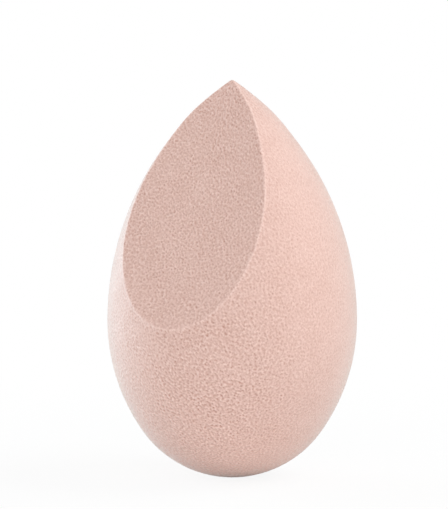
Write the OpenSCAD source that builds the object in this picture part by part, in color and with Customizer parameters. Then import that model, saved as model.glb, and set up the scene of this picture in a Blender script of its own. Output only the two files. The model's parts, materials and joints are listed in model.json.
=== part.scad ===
// Makeup sponge: a teardrop of soft foam with one slanted flat cut
//
// The whole object is one moulded piece of foam, so it is one node. +Z is up, towards the tip.
// The origin is on the teardrop's axis, in the middle of the small flat that it rests on, and
// the slanted cut faces -Y. The left and right halves mirror each other across the YZ plane.

/* [Teardrop] */
// Height from the resting flat to the top of the tip
body_h = 62.2; // [57:0.1:74]
// Greatest diameter, round the belly
belly_d = 39; // [36:0.1:44]
// Height of the greatest diameter above the resting flat
belly_h = 24.6; // [20:0.1:29]
// How far the belly swells out beyond the ball that the bottom end follows
belly_swell = 2; // [0.8:0.1:5]
// Radius of the small ball that rounds the tip
tip_r = 1.1; // [0.5:0.1:4]
// Depth to which the bottom ball is flattened where it rests
rest_depth = 0.5; // [0.2:0.1:1]

/* [Slanted cut] */
// Angle between the cut face and the upright axis
cut_angle = 27; // [24:0.5:32]
// Level distance from the top of the tip forward to the cut face
cut_setback = 0.75; // [0.2:0.05:2]

/* [Hidden] */
// Sides of the circles in the preview
$fn = 120;
// Radius of the belly at its widest
belly_r = belly_d / 2;
// Radius of the ball that the bottom end follows
base_r = belly_r - belly_swell;
// Height of the middle of the bottom ball, which reaches below the flat by the resting depth
base_mid = base_r - rest_depth;
// Height of the middle of the tip ball
tip_mid = body_h - tip_r;
// Depth by which each long arc dips under the ball that it meets, so that the two cross cleanly
join_lap = 0.001;
// Radii of the balls that the long arcs are drawn tangent to
base_touch_r = base_r - join_lap;
tip_touch_r = tip_r - join_lap;
// Edge of the block that clears the foam in front of the cut
clear_side = 2 * body_h;

// Radius of the arc that stands upright at the widest point of the belly and is tangent to a
// ball on the axis, whose middle lies rise above or below the height of that point
function swell_r(rise, ball_r) =
    (pow(belly_r, 2) + pow(rise, 2) - pow(ball_r, 2)) / (2 * (belly_r - ball_r));

// Height at which that arc touches the ball
function join_h(mid, ball_r) =
    mid + ball_r * (mid - belly_h) / (swell_r(mid - belly_h, ball_r) - ball_r);

// What lies right of the axis and above a height, and what lies right of it and below one
module above(height) translate([0, height]) square([belly_d, body_h]);
module below(height) translate([0, height - body_h]) square([belly_d, body_h]);

// Half outline: the bottom ball, the lower swell, the long side and the tip ball, which run
// into each other without a corner
module half_outline() {
    base_join = join_h(base_mid, base_touch_r);
    tip_join = join_h(tip_mid, tip_touch_r);
    lower_r = swell_r(base_mid - belly_h, base_touch_r);
    side_r = swell_r(tip_mid - belly_h, tip_touch_r);
    intersection() {
        translate([0, base_mid]) circle(r = base_r);
        above(0);
    }
    intersection() {
        translate([belly_r - lower_r, belly_h]) circle(r = lower_r);
        above(base_join);
        below(belly_h);
    }
    intersection() {
        translate([belly_r - side_r, belly_h]) circle(r = side_r);
        above(belly_h);
        below(tip_join);
    }
    intersection() {
        translate([0, tip_mid]) circle(r = tip_r);
        above(belly_h);
    }
}

// Everything in front of the slanted cut, which leans back towards the tip
module cut_away() {
    translate([0, -cut_setback, body_h]) rotate([-cut_angle, 0, 0])
        translate([-clear_side / 2, -clear_side, -clear_side]) cube([clear_side, clear_side, 2 * clear_side]);
}

module sponge() {
    color([0.91, 0.77, 0.71]) difference() {
        rotate_extrude() half_outline();
        cut_away();
    }
}

sponge();
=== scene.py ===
import bpy
import json
import math
import numpy as np
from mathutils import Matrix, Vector


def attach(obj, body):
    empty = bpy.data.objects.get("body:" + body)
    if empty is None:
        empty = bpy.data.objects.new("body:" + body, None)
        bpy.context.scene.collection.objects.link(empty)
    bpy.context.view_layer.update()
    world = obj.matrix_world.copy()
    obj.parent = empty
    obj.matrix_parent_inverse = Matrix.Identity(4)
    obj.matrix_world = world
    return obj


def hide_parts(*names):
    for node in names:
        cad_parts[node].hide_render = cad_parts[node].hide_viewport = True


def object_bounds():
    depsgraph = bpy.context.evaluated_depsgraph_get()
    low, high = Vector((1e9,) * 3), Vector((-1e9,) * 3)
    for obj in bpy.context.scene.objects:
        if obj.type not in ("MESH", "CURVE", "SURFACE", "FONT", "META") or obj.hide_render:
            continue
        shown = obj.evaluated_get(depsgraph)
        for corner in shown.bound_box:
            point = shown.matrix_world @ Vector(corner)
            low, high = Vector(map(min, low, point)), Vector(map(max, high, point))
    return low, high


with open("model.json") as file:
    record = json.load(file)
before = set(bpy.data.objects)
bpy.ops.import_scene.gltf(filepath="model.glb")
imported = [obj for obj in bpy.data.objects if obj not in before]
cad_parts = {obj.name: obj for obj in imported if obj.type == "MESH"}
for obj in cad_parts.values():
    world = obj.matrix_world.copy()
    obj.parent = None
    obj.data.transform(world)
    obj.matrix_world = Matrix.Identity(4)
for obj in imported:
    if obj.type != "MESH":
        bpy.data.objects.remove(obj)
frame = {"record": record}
cad_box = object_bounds()

# Sponge
# The real piece is one teardrop of soft open-cell polyurethane foam. It is foamed in a closed
# mould, so it has no seam, and a fine grain of opened bubbles covers it all over. A blade then
# takes off the slanted flat face. It isn't fixed to anything and stands on its round end.

MM = 0.001                  # one millimetre, in the frame's metres
LOW_CORNER, HIGH_CORNER = cad_box
BODY_H = HIGH_CORNER[2] - LOW_CORNER[2]             # from the resting flat to the top of the tip
BELLY_R = (HIGH_CORNER[0] - LOW_CORNER[0]) / 2      # greatest radius
BELLY_H = 24.6 * MM         # height of the greatest radius
BALL_R = BELLY_R - 2.4 * MM         # ball that the bottom end follows
TIP_R = 0.65 * MM           # ball that rounds the tip
SHOULDER = 0.22 * MM        # how much fuller than its arc the side is under the tip
SHOULDER_DROP, SHOULDER_REACH = 5.0 * MM, 2.8 * MM  # how far below the tip, and its spread
REST_DEPTH = 0.1 * MM       # how deep the foam is pressed flat where it stands
RIM_SOFTNESS = 0.12 * MM    # how far the cut's sharp edge is rounded into both faces
CORE_H = 25.0 * MM          # height of the point on the axis from which the surface is measured
TIP_BEND, BEND_REACH = 0.5 * MM, 11.0 * MM          # how far the cut leans back at the tip, and
                            # over what height
LEAST_TOWARDS = 0.3         # least (direction . normal): the cut's plane then lies well outside
LEAST_SLOPE = 0.1           # least slope with which a distance from the rim is worked out
OUTLINE_STEPS = 4000        # points of the half outline that the surface is read from
CELL = 0.125 * MM           # side of one quad of the mesh at the belly

cut_face = next(mount for mount in frame["record"]["mounts"] if mount["name"] == "cut_face")


def swell_radius(rise, ball_r):
    """Radius of the arc that is upright at the belly and tangent to a ball on the axis.

    It is (belly^2 + rise^2 - ball^2) / (2 (belly - ball)), where rise is the height between
    the belly and the middle of the ball.
    """
    return (BELLY_R**2 + rise**2 - ball_r**2) / (2 * (BELLY_R - ball_r))


def outline(steps, fewest=8):
    """Points (radius, height) along the teardrop's half outline, from the bottom to the tip.

    Four arcs, each tangent to the next: the bottom ball, the lower swell, the long side and
    the tip ball. Each arc is its middle plus its radius times (cos a, sin a), and the arcs
    share the points by their lengths, with a fewest for each. Under the tip a small
    bell-shaped swell, swell times e^-(distance / reach)^2, is added to the radius.
    """
    ball_mid = BALL_R - REST_DEPTH
    tip_mid = BODY_H - TIP_R
    lower_r = swell_radius(ball_mid - BELLY_H, BALL_R)
    side_r = swell_radius(tip_mid - BELLY_H, TIP_R)
    low_turn = math.atan2(ball_mid - BELLY_H, lower_r - BELLY_R)
    high_turn = math.atan2(tip_mid - BELLY_H, side_r - BELLY_R)
    arcs = (
        (0.0, ball_mid, BALL_R, -math.pi / 2, low_turn),
        (BELLY_R - lower_r, BELLY_H, lower_r, low_turn, 0.0),
        (BELLY_R - side_r, BELLY_H, side_r, 0.0, high_turn),
        (0.0, tip_mid, TIP_R, high_turn, math.pi / 2),
    )
    lengths = np.array([arc_r * (end - start) for _, _, arc_r, start, end in arcs])
    counts = np.maximum(fewest, steps * lengths / lengths.sum()).astype(int)
    points = []
    for (mid_x, mid_z, arc_r, start, end), count in zip(arcs, counts):
        turn = np.linspace(start, end, count, endpoint=False)
        points.append(np.stack([mid_x + arc_r * np.cos(turn), mid_z + arc_r * np.sin(turn)], 1))
    points.append(np.array([[0.0, BODY_H]]))
    points = np.concatenate(points)
    points[:, 1] = np.maximum(points[:, 1], 0.0)
    from_shoulder = (points[:, 1] - (BODY_H - SHOULDER_DROP)) / SHOULDER_REACH
    points[1:-1, 0] += SHOULDER * np.exp(-from_shoulder[1:-1] ** 2)
    return points


def soft_min(a, b, softness):
    """The smaller of two lengths, with the corner between them rounded over the softness.

    Where they differ by less than the softness, a quarter of (softness - difference)^2 /
    softness is taken off the smaller one.
    """
    gap = np.maximum(softness - np.abs(a - b), 0.0)
    return np.minimum(a, b) - gap * gap / (4 * softness)


def rim_distance(gap, grid):
    """Distance along the surface from the line where the gap is zero: the gap over its slope.

    The slope is the root of the sum of its squares across the columns and up the rows.
    """
    across = np.roll(gap, -1, axis=1) - np.roll(gap, 1, axis=1)
    across /= np.linalg.norm(np.roll(grid, -1, axis=1) - np.roll(grid, 1, axis=1), axis=-1)
    upward = np.gradient(gap, axis=0) / np.linalg.norm(np.gradient(grid, axis=0), axis=-1)
    return gap / np.maximum(np.hypot(across, upward), LEAST_SLOPE)


def sponge_surface():
    """Points of the sponge on a grid: rows from the bottom to the tip, columns round the axis.

    Each point is a direction from a core point on the axis times a distance. The distance is
    the soft minimum of the distance to the teardrop and the distance to the cut plane,
    (cut point . normal) / (direction . normal), so the rim of the cut is rounded. Towards the
    tip the cut leans back by bend x (1 - depth below the tip / reach)^2. The second result is
    how far each point lies from the rim, below zero on the cut.
    """
    profile = outline(OUTLINE_STEPS)
    rise = profile[:, 1] - CORE_H
    lean = np.arctan2(rise, profile[:, 0])
    reach = np.hypot(profile[:, 0], rise)
    along = np.concatenate([[0], np.cumsum(np.hypot(*np.diff(profile, axis=0).T))])
    rows = round(along[-1] / CELL)
    columns = round(2 * math.pi * BELLY_R / CELL)
    row_lean = np.interp(np.linspace(0, along[-1], rows + 1)[1:-1], along, lean)
    turn = np.linspace(0, 2 * math.pi, columns, endpoint=False) + math.pi / 2
    lean_grid, turn_grid = np.meshgrid(row_lean, turn, indexing="ij")
    facing = np.stack([np.cos(lean_grid) * np.cos(turn_grid),
                       np.cos(lean_grid) * np.sin(turn_grid),
                       np.sin(lean_grid)], -1)
    body = np.interp(lean_grid, lean, reach)
    cut_normal = np.array(cut_face["axis"])
    cut_depth = (np.array(cut_face["pos_m"]) - (0, 0, CORE_H)) @ cut_normal
    towards = np.maximum(facing @ cut_normal, LEAST_TOWARDS)
    height = CORE_H + facing[..., 2] * cut_depth / towards
    bend = TIP_BEND * np.clip(1 - (BODY_H - height) / BEND_REACH, 0, 1) ** 2
    plane = (cut_depth - bend) / towards
    grid = facing * soft_min(body, plane, RIM_SOFTNESS)[..., None]
    grid[..., 2] += CORE_H
    return grid, rim_distance(plane - body, grid)


def grid_normals(grid):
    """Unit normals of a wrapped grid, from the cross product of its two central differences."""
    across = np.roll(grid, -1, axis=1) - np.roll(grid, 1, axis=1)
    upward = np.gradient(grid, axis=0)
    normal = np.cross(across, upward)
    return normal / np.linalg.norm(normal, axis=-1, keepdims=True)


PLACE_FACTORS = 73856093, 19349663, 83492791        # large numbers that scatter a cell's place,
SALT_FACTOR, MIX_FACTOR = 2654435761, 0x45D9F3B     # the salt and what is mixed of them so far
ALL_BITS, KEPT_BITS = 0xFFFFFFFF, 0xFFFFFF          # the bits mixed, and those of the result


def lattice_hash(cell, salt):
    """A repeatable number from 0 to 1 for each integer cell and salt, by mixing their bits."""
    mixed = salt * SALT_FACTOR
    for axis, factor in enumerate(PLACE_FACTORS):
        mixed = mixed ^ cell[..., axis] * factor
    mixed = mixed & ALL_BITS
    for _ in range(2):
        mixed = ((mixed ^ (mixed >> 16)) * MIX_FACTOR) & ALL_BITS
    return ((mixed ^ (mixed >> 16)) & KEPT_BITS) / (KEPT_BITS + 1)


FOAM_RISE = np.array([0.69, 0.10, -0.717])          # way the foam rose in its mould
STRETCH = 1.7               # how much longer a bubble is that way
LEAST_BUBBLE, BUBBLE_SPREAD = 0.6, 0.8              # radius beside the mean: the least, and the range


def bubbles(points, pitch, radius_share, salt):
    """How deep each point lies in the nearest foam bubble, from 0 at its rim to 1 at its middle.

    One bubble is scattered in each cell of a cubic lattice, which is drawn out along the rise
    of the foam. The depth is 1 - (d / r)^2 for a point at the distance d from a bubble's
    middle, r being that bubble's own radius. The deepest of the 27 cells round the point counts.
    """
    along_rise = (points @ FOAM_RISE)[..., None] * FOAM_RISE
    scaled = (points - (1 - 1 / STRETCH) * along_rise) / pitch
    home = np.floor(scaled).astype(np.int64)
    deepest = np.zeros(points.shape[:-1])
    steps = (-1, 0, 1)
    for offset in ((x, y, z) for x in steps for y in steps for z in steps):
        cell = home + np.array(offset)
        middle = cell + np.stack([lattice_hash(cell, salt + k) for k in range(3)], -1)
        reach = radius_share * (LEAST_BUBBLE + BUBBLE_SPREAD * lattice_hash(cell, salt + 3))
        depth = 1 - ((scaled - middle) ** 2).sum(-1) / reach**2
        deepest = np.maximum(deepest, depth)
    return deepest


def ring_mean(values, grid, reach, around=8):
    """Mean of a grid's values at some points round each one, at that reach on the surface.

    The reach is turned into rows and columns by the grid's own spacing at the point.
    """
    rows, columns = values.shape
    across = reach / np.linalg.norm(np.roll(grid, -1, axis=1) - grid, axis=-1)
    upward = reach / np.linalg.norm(np.gradient(grid, axis=0), axis=-1)
    row, column = np.indices(values.shape)
    total = np.zeros(values.shape)
    for turn in np.arange(around) * 2 * math.pi / around:
        other_row = np.clip(np.rint(row + upward * math.sin(turn)), 0, rows - 1).astype(int)
        other_column = np.rint(column + across * math.cos(turn)).astype(int) % columns
        total += values[other_row, other_column]
    return total / around


def closed_mesh(name, grid, low, high):
    """A mesh of the grid's quads, wrapped round and closed by a fan at each pole.

    Its UV map lays the same grid flat: u is the column and v the row, each as a share of them
    all, and a pole is spread along the map's edge.
    """
    rows, columns, _ = grid.shape
    verts = np.concatenate([grid.reshape(-1, 3), [low, high]])
    row, column = np.meshgrid(np.arange(rows - 1), np.arange(columns), indexing="ij")
    after = (column + 1) % columns
    quads = np.stack([row * columns + column, row * columns + after,
                      (row + 1) * columns + after, (row + 1) * columns + column], -1).reshape(-1, 4)
    ring = np.arange(columns)
    after = (ring + 1) % columns
    bottom = np.stack([after, ring, np.full(columns, rows * columns)], 1)
    top_row = (rows - 1) * columns
    top = np.stack([top_row + ring, top_row + after, np.full(columns, rows * columns + 1)], 1)
    tris = np.concatenate([bottom, top])
    mesh = bpy.data.meshes.new(name)
    mesh.vertices.add(len(verts))
    mesh.vertices.foreach_set("co", verts.astype(np.float32).ravel())
    loops = np.concatenate([quads.ravel(), tris.ravel()])
    mesh.loops.add(len(loops))
    mesh.loops.foreach_set("vertex_index", loops.astype(np.int32))
    sizes = np.concatenate([np.full(len(quads), 4), np.full(len(tris), 3)])
    starts = np.concatenate([[0], np.cumsum(sizes)[:-1]])
    mesh.polygons.add(len(sizes))
    mesh.polygons.foreach_set("loop_start", starts.astype(np.int32))
    mesh.polygons.foreach_set("use_smooth", np.ones(len(sizes), bool))
    quad_map = np.stack([np.stack([column + step, row + 1 + rise], -1)
                         for step, rise in ((0, 0), (1, 0), (1, 1), (0, 1))], 2)
    fan_corners = (((1, 1), (0, 1), (0.5, 0)), ((0, rows), (1, rows), (0.5, rows + 1)))
    fan_maps = [np.stack([np.stack([ring + step, np.full(columns, level)], -1)
                          for step, level in corners], 1) for corners in fan_corners]
    places = np.concatenate([part.reshape(-1, 2) for part in (quad_map, *fan_maps)])
    flat = places / (columns, rows + 1)
    mesh.uv_layers.new(name="OFBake").data.foreach_set("uv", flat.astype(np.float32).ravel())
    mesh.update(calc_edges=True)
    mesh.validate()
    return mesh


PORE_PITCH = 0.32 * MM      # distance between neighbouring bubbles of the foam
PORE_SHARE = 0.66           # a bubble's mean radius, as a share of that distance
LEVEL_REACH = 0.3 * MM      # distance over which the grain evens out to the smooth surface
FINE_SIZE, FINE_WEIGHT = 0.72, 0.7      # finer bubbles between them: size and depth beside theirs
PATCH_PITCH, PATCH_SHARE = 2.2 * MM, 0.8            # patches of stronger grain: pitch and radius
PATCH_LOW, PATCH_GAIN = 0.85, 0.3       # its strength between the patches, and what they add
PEAK = 1.1                  # power that deepens the deepest bubbles and raises the walls
HOLE_PITCH = 1.8 * MM       # distance between the larger open holes
HOLE_SHARE = 0.1            # a hole's mean radius, as a share of that distance
HOLE_WEIGHT = 0.3           # a hole's depth beside a bubble's
PORE_DEPTH = 0.15 * MM      # how deep the widest opened bubbles are
PORE_SALT, FINE_SALT, PATCH_SALT, HOLE_SALT = 11, 31, 71, 47        # which scatter each one takes
STRONG_GRAIN_TURN, STRONG_GRAIN_DROP = math.radians(17), math.radians(19)           # where the grain and its painted pore shade are strongest
GRAIN_MOST, GRAIN_LEAST, CUT_OPEN = 0.97, 0.29, 0.63   # the grain's depth there, behind and on the cut
GRAIN_FALL = 7               # power with which it falls off from there
CUT_SUNK = 0.02             # how much deeper the cut's opened foam lies, beside a bubble's depth
RIM_OUT, RIM_WIDTH = 0.12 * MM, 0.15 * MM           # raised lip just outside the cut's rim, painted pale as a highlight along the edge
LIP_HIGHLIGHT = 0.36              # its height beside a bubble's depth, which also sets how pale its painted highlight is
RIM_CALM = 0.2 * MM         # reach from the rim within which the relief dies away

surface, past_rim = sponge_surface()
skin_normal = grid_normals(surface)
strong_grain_way = np.array([math.sin(STRONG_GRAIN_TURN) * math.cos(STRONG_GRAIN_DROP),
                      -math.cos(STRONG_GRAIN_TURN) * math.cos(STRONG_GRAIN_DROP), -math.sin(STRONG_GRAIN_DROP)])
towards_strong_grain = skin_normal @ strong_grain_way
# painted shade: the grain, and with it the shade painted into the pores, is deepest facing the front
# and a little down, where light rakes across the relief, and finer behind
grain = GRAIN_LEAST + (GRAIN_MOST - GRAIN_LEAST) * ((1 + towards_strong_grain) / 2) ** GRAIN_FALL
grain = np.where(past_rim < 0, CUT_OPEN, grain)
lip_and_highlight = np.exp(-((past_rim - RIM_OUT) / RIM_WIDTH) ** 2)
pores = bubbles(surface, PORE_PITCH, PORE_SHARE, PORE_SALT)
pores -= ring_mean(pores, surface, LEVEL_REACH)
pores *= PATCH_LOW + PATCH_GAIN * bubbles(surface, PATCH_PITCH, PATCH_SHARE, PATCH_SALT)
fine = bubbles(surface, PORE_PITCH * FINE_SIZE, PORE_SHARE, FINE_SALT)
pores += FINE_WEIGHT * (fine - ring_mean(fine, surface, LEVEL_REACH * FINE_SIZE))
pores = np.sign(pores) * np.abs(pores) ** PEAK
pores += HOLE_WEIGHT * bubbles(surface, HOLE_PITCH, HOLE_SHARE, HOLE_SALT)
pores = pores * grain - LIP_HIGHLIGHT * lip_and_highlight + CUT_SUNK * (past_rim < 0)
at_rim = np.exp(-(past_rim / RIM_CALM) ** 2)
surface -= skin_normal * (PORE_DEPTH * pores * (1 - at_rim))[..., None]
surface[..., 2] = np.maximum(surface[..., 2], 0.0)
sponge_mesh = closed_mesh("foam_sponge", surface, (0, 0, 0), (0, 0, BODY_H))
# the same depths colour the foam: painted shade where the pores and holes run deep, a painted
# highlight along the lip where they fall below zero
pore_values = np.concatenate([pores.ravel(), [0, 0]]).astype(np.float32)
sponge_mesh.attributes.new("pore", "FLOAT", "POINT").data.foreach_set("value", pore_values)
sponge = bpy.data.objects.new("foam_sponge", sponge_mesh)
bpy.context.scene.collection.objects.link(sponge)


PALEST, DEEPEST = (0.990, 0.732, 0.660, 1), (0.590, 0.302, 0.231, 1)        # the foam's colours
BASE_TINT = 0.26            # how far the foam's colour lies from its palest to its deepest
PORE_SHADE, CELL_TINT, MOTTLE_TINT = 0.66, 0.25, 0.15        # what the painted shade in the pores, the fine cells and the mottle add
CELL_PITCH, RELIEF = 0.2 * MM, 0.02 * MM            # fine cells' size and the depth of their dents
MOTTLE_PITCH = 3.5 * MM     # size of the mottle's clouds
GLOSS_FROM, GLOSS_TO = 0.55, 0.68                   # roughness over the mottle


def foam_material():
    """Dry matte foam: pale pinkish beige, with painted shade making it darker and redder inside the
    pores, and a soft sheen.

    The pores of the mesh come as an attribute, which paints shade into them, and a highlight along
    the lip by the cut's rim where it falls below zero. The finer bubbles between them are cells of a
    Voronoi texture, which tint the foam and dent it, and a slow noise mottles colour and gloss.
    """
    material = bpy.data.materials.new("foam")
    material.use_nodes = True
    tree = material.node_tree
    shader = tree.nodes["Principled BSDF"]
    shader.inputs["Specular IOR Level"].default_value = 0.5
    shader.inputs["Sheen Weight"].default_value = 0.5
    shader.inputs["Sheen Roughness"].default_value = 0.45
    shader.inputs["Sheen Tint"].default_value = (0.75, 1.0, 1.0, 1)

    def node(kind, **inputs):
        """A new node of that kind with these of its inputs linked or set."""
        made = tree.nodes.new(kind)
        for name, value in inputs.items():
            socket = made.inputs[int(name[1:]) if name[1:].isdigit() else name]
            if isinstance(value, bpy.types.NodeSocket):
                tree.links.new(value, socket)
            else:
                socket.default_value = value
        return made

    place = node("ShaderNodeTexCoord").outputs["Object"]
    pore = node("ShaderNodeAttribute")
    pore.attribute_name = "pore"
    cells = node("ShaderNodeTexVoronoi", Vector=place, Scale=1 / CELL_PITCH)
    cell_value = node("ShaderNodeSeparateColor", _0=cells.outputs["Color"])
    mottle = node("ShaderNodeTexNoise", Vector=place, Scale=1 / MOTTLE_PITCH, Detail=3.0)

    # how deep the foam's colour is: deeper in the pores as painted shade, deeper in the random cells
    # and mottle, paler on the walls between and along the lip as a painted highlight
    level = node("ShaderNodeMath", _0=pore.outputs["Fac"], _1=PORE_SHADE, _2=BASE_TINT)
    level.operation = "MULTIPLY_ADD"
    for source, share in ((cell_value.outputs[0], CELL_TINT), (mottle.outputs["Fac"], MOTTLE_TINT)):
        level = node("ShaderNodeMath", _0=source, _1=share, _2=level.outputs[0])
        level.operation = "MULTIPLY_ADD"
    colour = node("ShaderNodeMix")
    colour.data_type = "RGBA"
    tree.links.new(level.outputs[0], colour.inputs[0])
    colour.inputs[6].default_value = PALEST
    colour.inputs[7].default_value = DEEPEST
    tree.links.new(colour.outputs[2], shader.inputs["Base Color"])

    gloss = node("ShaderNodeMapRange", Value=mottle.outputs["Fac"])
    gloss.inputs["To Min"].default_value = GLOSS_FROM
    gloss.inputs["To Max"].default_value = GLOSS_TO
    tree.links.new(gloss.outputs["Result"], shader.inputs["Roughness"])

    bump = node("ShaderNodeBump", Strength=1.0, Distance=RELIEF, Height=cells.outputs["Distance"])
    tree.links.new(bump.outputs["Normal"], shader.inputs["Normal"])
    return material


sponge_mesh.materials.append(foam_material())
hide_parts("sponge")
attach(sponge, "root")

# Floor
# A plain pale studio sweep that the sponge stands on. To the camera it glows plain white away
# from the sponge, and close to it the lit surface keeps the sponge's soft shadow.

FLOOR_SIDE = 4.0            # in metres
FADE_START, FADE_END = 25 * MM, 110 * MM        # distance from the sponge's axis
FADE_LOW = 0.9              # the white glow's share of the floor's colour before the fade


def seen_directly(tree):
    """1 where a ray comes from the camera, off gloss or through glass, and 0 for all others."""
    path = tree.nodes.new("ShaderNodeLightPath")
    seen = path.outputs["Is Camera Ray"]
    for other in ("Is Glossy Ray", "Is Transmission Ray"):
        either = tree.nodes.new("ShaderNodeMath")
        either.operation = "MAXIMUM"
        tree.links.new(seen, either.inputs[0])
        tree.links.new(path.outputs[other], either.inputs[1])
        seen = either.outputs[0]
    return seen


def floor_material():
    """Matte white floor with a white glow that only the camera, gloss and glass see.

    The glow's share of the colour rises from its value at the sponge to all of it at the end
    of the fade, by the distance from the sponge's axis.
    """
    material = bpy.data.materials.new("floor")
    material.use_nodes = True
    tree = material.node_tree
    shader = tree.nodes["Principled BSDF"]
    shader.inputs["Base Color"].default_value = (0.93, 0.93, 0.93, 1)
    shader.inputs["Roughness"].default_value = 1.0
    shader.inputs["Specular IOR Level"].default_value = 0.0
    coordinates = tree.nodes.new("ShaderNodeTexCoord")
    length = tree.nodes.new("ShaderNodeVectorMath")
    length.operation = "LENGTH"
    tree.links.new(coordinates.outputs["Object"], length.inputs[0])
    fade = tree.nodes.new("ShaderNodeMapRange")
    fade.interpolation_type = "SMOOTHSTEP"
    fade.inputs["From Min"].default_value = FADE_START
    fade.inputs["From Max"].default_value = FADE_END
    fade.inputs["To Min"].default_value = FADE_LOW
    tree.links.new(length.outputs["Value"], fade.inputs["Value"])
    share = tree.nodes.new("ShaderNodeMath")
    share.operation = "MULTIPLY"
    tree.links.new(fade.outputs["Result"], share.inputs[0])
    tree.links.new(seen_directly(tree), share.inputs[1])
    glow = tree.nodes.new("ShaderNodeEmission")
    mix = tree.nodes.new("ShaderNodeMixShader")
    tree.links.new(share.outputs[0], mix.inputs[0])
    tree.links.new(shader.outputs[0], mix.inputs[1])
    tree.links.new(glow.outputs[0], mix.inputs[2])
    tree.links.new(mix.outputs[0], tree.nodes["Material Output"].inputs["Surface"])
    return material


bpy.ops.mesh.primitive_plane_add(size=FLOOR_SIDE, location=(0, 0, 0))
floor = bpy.context.object
floor.name = "floor"
floor.data.materials.append(floor_material())

# Light
# Soft boxes and a faint even light, as in a studio with a plain white background. A low one by
# the camera and a high one over it fill the front, one on the right lights the side, and two
# behind whiten the left edge.

VIEW_TURN = math.radians(30.6)      # camera's azimuth, from the cut's side towards +X
EVEN_LIGHT, WHITE_LIGHT = 0.5, 1.0  # the world's strength on the sponge, and as seen directly

world = bpy.data.worlds.new("studio")
bpy.context.scene.world = world
world.use_nodes = True
nodes, links = world.node_tree.nodes, world.node_tree.links
background = nodes["Background"]
background.inputs["Color"].default_value = (1, 1, 1, 1)
strength = nodes.new("ShaderNodeMix")
strength.inputs[2].default_value = EVEN_LIGHT
strength.inputs[3].default_value = WHITE_LIGHT
links.new(seen_directly(world.node_tree), strength.inputs[0])
links.new(strength.outputs[0], background.inputs["Strength"])


def softbox(name, turn, lift, reach, width, height, power, tint):
    """An area lamp that faces the sponge's middle from a distance, its reach in metres.

    Turn is its azimuth in degrees from the camera's towards the camera's right, and lift is
    its height above the level, in degrees too.
    """
    lamp = bpy.data.lights.new(name, "AREA")
    lamp.shape = "RECTANGLE"
    lamp.size, lamp.size_y = width, height
    lamp.energy = power
    lamp.color = tint
    azimuth = VIEW_TURN + math.radians(turn)
    level = math.cos(math.radians(lift))
    towards = Vector((math.sin(azimuth) * level, -math.cos(azimuth) * level,
                      math.sin(math.radians(lift))))
    holder = bpy.data.objects.new(name, lamp)
    holder.location = Vector((0, 0, BODY_H / 2)) + towards * reach
    holder.rotation_euler = towards.to_track_quat("Z", "Y").to_euler()
    bpy.context.scene.collection.objects.link(holder)


softbox("low_front_light", turn=-4, lift=4, reach=0.9, width=0.6, height=0.2,
        power=1.0, tint=(0.98, 1.0, 1.01))
softbox("high_front_light", turn=0, lift=34, reach=1.2, width=0.8, height=0.8,
        power=2.0, tint=(1.0, 0.98, 0.96))
softbox("right_light", turn=90, lift=45, reach=0.7, width=0.5, height=0.5,
        power=2.36, tint=(0.99, 1.0, 1.0))
softbox("left_rim_light", turn=-118, lift=3, reach=0.73, width=0.4, height=0.2,
        power=2.28, tint=(0.88, 1.08, 1.2))
softbox("back_rim_light", turn=-132, lift=16, reach=0.73, width=0.4, height=0.3,
        power=1.3, tint=(0.75, 1.0, 1.1))

# Camera
# It looks at the sponge from the photograph's angle, a little above the level.

PHOTO_W, PHOTO_H = 448, 509         # the photograph's frame, in pixels
PIXEL = 0.15625 * MM                # what one of its pixels covers at the sponge
VIEW_LIFT = math.radians(7.0)       # camera's height above the level
LENS_DISTANCE = 0.8                 # from the lens to the sponge, in metres
SENSOR_H = 24.0                     # height of the camera's sensor, in millimetres
AXIS_COLUMN = 232.2                 # the photograph's column on which the sponge's axis lies
AIM_ROW, AIM_HEIGHT = 277.55, 31.25 * MM            # the row that this height on the axis lies on

to_camera = Vector((math.sin(VIEW_TURN) * math.cos(VIEW_LIFT),
                    -math.cos(VIEW_TURN) * math.cos(VIEW_LIFT), math.sin(VIEW_LIFT)))
camera_right = Vector((math.cos(VIEW_TURN), math.sin(VIEW_TURN), 0))
camera_up = to_camera.cross(camera_right)
camera_data = bpy.data.cameras.new("camera")
camera = bpy.data.objects.new("camera", camera_data)
bpy.context.scene.collection.objects.link(camera)
bpy.context.scene.camera = camera
camera_data.sensor_fit = "VERTICAL"
camera_data.sensor_height = SENSOR_H
camera_data.lens = camera_data.sensor_height * LENS_DISTANCE / (PHOTO_H * PIXEL)
camera_data.dof.use_dof = False
target = Vector((0, 0, AIM_HEIGHT))
target += camera_right * (PHOTO_W / 2 - AXIS_COLUMN) * PIXEL
target += camera_up * (AIM_ROW - PHOTO_H / 2) * PIXEL
camera.location = target + to_camera * LENS_DISTANCE
camera.rotation_euler = to_camera.to_track_quat("Z", "Y").to_euler()

bpy.context.scene.view_settings.view_transform = "Standard"
